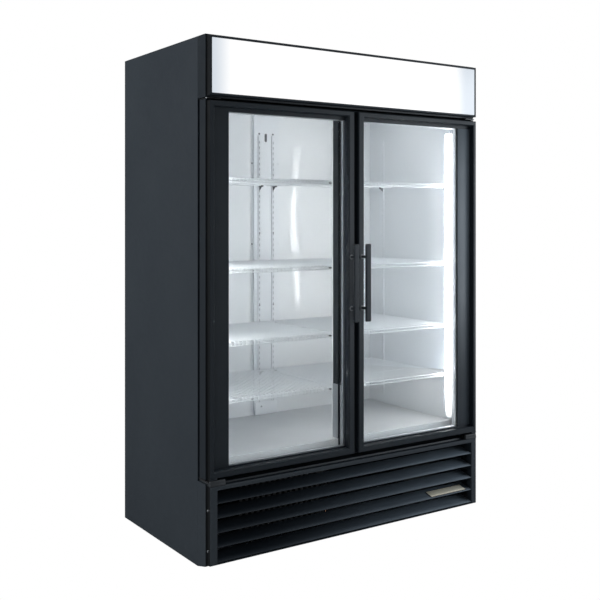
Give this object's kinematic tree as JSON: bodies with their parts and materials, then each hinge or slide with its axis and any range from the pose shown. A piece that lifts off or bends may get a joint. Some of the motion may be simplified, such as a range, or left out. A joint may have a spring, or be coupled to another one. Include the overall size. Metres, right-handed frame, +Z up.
{
  "type": "glass door merchandiser",
  "caption": "Upright black display refrigerator with two hinged glass doors, a lit sign header, wire shelves in a white interior and a louvred base grille.",
  "frame": {"origin": "centre of the overall bounding box at floor level, handles included", "axes": "+Z up, -Y out of the front (the side with the doors), +X to the right of a person who faces the doors"},
  "size_m": [1.375, 0.807, 1.997],
  "materials": {
    "black_steel": "satin powder coat, fine orange peel",
    "door_trim": "satin black",
    "gasket_rubber": "matte black magnetic seal",
    "white_liner": "smooth white coating",
    "floor_steel": "brushed grey floor",
    "galvanised_steel": "galvanised, faint spangle",
    "insulation_foam": "rigid foam, sealed inside the walls",
    "door_glass": "clear double glazing",
    "sign_acrylic": "translucent white, lit from behind",
    "lamp_diffuser": "frosted white diffuser",
    "shelf_wire": "white coated wire",
    "black_enamel": "black enamel",
    "coil_fins": "thin bare fins",
    "dark_plastic": "dark moulded plastic"
  },
  "bodies": {
    "cabinet": {"left_side_panel": "black_steel", "right_side_panel": "black_steel", "top_panel": "black_steel", "grille_frame": "black_steel", "grille_blade_1": "black_steel", "grille_blade_2": "black_steel", "grille_blade_3": "black_steel", "grille_blade_4": "black_steel", "grille_blade_5": "black_steel", "front_flange": "door_trim", "centre_mullion": "door_trim", "header_frame": "door_trim", "white_liner": "white_liner", "evaporator_cover": "white_liner", "mullion_cover": "white_liner", "interior_floor": "floor_steel", "back_panel": "galvanised_steel", "base_pan": "galvanised_steel", "control_box": "galvanised_steel", "left_wall_foam": "insulation_foam", "right_wall_foam": "insulation_foam", "rear_wall_foam": "insulation_foam", "ceiling_foam": "insulation_foam", "floor_foam": "insulation_foam", "sign_panel": "sign_acrylic", "header_lamp": "lamp_diffuser", "left_shelf_1": "shelf_wire", "left_shelf_2": "shelf_wire", "left_shelf_3": "shelf_wire", "left_shelf_4": "shelf_wire", "right_shelf_1": "shelf_wire", "right_shelf_2": "shelf_wire", "right_shelf_3": "shelf_wire", "right_shelf_4": "shelf_wire", "compressor": "black_enamel", "condenser_fan_motor": "black_enamel", "left_top_hinge": "black_enamel", "left_bottom_hinge": "black_enamel", "right_top_hinge": "black_enamel", "right_bottom_hinge": "black_enamel", "condenser_coil": "coil_fins", "evaporator_coil": "coil_fins", "condenser_fan_shroud": "dark_plastic", "condensate_pan": "dark_plastic"},
    "left_door": {"left_door_frame": "door_trim", "left_glass_pack": "door_glass", "left_door_gasket": "gasket_rubber", "left_handle": "door_trim"},
    "right_door": {"right_door_frame": "door_trim", "right_glass_pack": "door_glass", "right_door_gasket": "gasket_rubber", "right_handle": "door_trim"},
    "condenser_fan_rotor": {"condenser_fan": "dark_plastic"},
    "evaporator_fan_rotor": {"evaporator_fan": "dark_plastic"},
    "thermostat": {"thermostat_knob": "dark_plastic"},
    "lamp_rocker": {"light_switch": "dark_plastic"},
    "left_front_leveller": {"left_front_foot": "galvanised_steel"},
    "left_rear_leveller": {"left_rear_foot": "galvanised_steel"},
    "right_front_leveller": {"right_front_foot": "galvanised_steel"},
    "right_rear_leveller": {"right_rear_foot": "galvanised_steel"}
  },
  "joints": [
    {"name": "left_door_hinge", "type": "hinge", "parent": "cabinet", "child": "left_door", "pos_m": [-0.6655, -0.3165, 1], "axis": [0, 0, -1], "range_deg": [0, 120], "stiffness_Nm_per_rad": 2.5, "springref_deg": -34.38},
    {"name": "right_door_hinge", "type": "hinge", "parent": "cabinet", "child": "right_door", "pos_m": [0.6655, -0.3165, 1], "axis": [0, 0, 1], "range_deg": [0, 120], "stiffness_Nm_per_rad": 2.5, "springref_deg": -34.38},
    {"name": "condenser_fan_spin", "type": "hinge", "parent": "cabinet", "child": "condenser_fan_rotor", "pos_m": [-0.3, -0.0995, 0.172], "axis": [0, 1, 0], "continuous": true},
    {"name": "evaporator_fan_spin", "type": "hinge", "parent": "cabinet", "child": "evaporator_fan_rotor", "pos_m": [-0.22, 0.1085, 1.845], "axis": [0, 0, 1], "continuous": true},
    {"name": "thermostat_turn", "type": "hinge", "parent": "cabinet", "child": "thermostat", "pos_m": [0.42, -0.1118, 1.87885], "axis": [0, -1, 0], "range_deg": [0, 270]},
    {"name": "lamp_rocker_tilt", "type": "hinge", "parent": "cabinet", "child": "lamp_rocker", "pos_m": [0.34, -0.1163, 1.87885], "axis": [-1, 0, 0], "range_deg": [0, 16]},
    {"name": "left_front_leveller_turn", "type": "hinge", "parent": "cabinet", "child": "left_front_leveller", "pos_m": [-0.6375, -0.2115, 0.012], "axis": [0, 0, 1], "range_deg": [-180, 180]},
    {"name": "left_rear_leveller_turn", "type": "hinge", "parent": "cabinet", "child": "left_rear_leveller", "pos_m": [-0.6375, 0.3535, 0.012], "axis": [0, 0, 1], "range_deg": [-180, 180]},
    {"name": "right_front_leveller_turn", "type": "hinge", "parent": "cabinet", "child": "right_front_leveller", "pos_m": [0.6375, -0.2115, 0.012], "axis": [0, 0, 1], "range_deg": [-180, 180]},
    {"name": "right_rear_leveller_turn", "type": "hinge", "parent": "cabinet", "child": "right_rear_leveller", "pos_m": [0.6375, 0.3535, 0.012], "axis": [0, 0, 1], "range_deg": [-180, 180]}
  ]
}
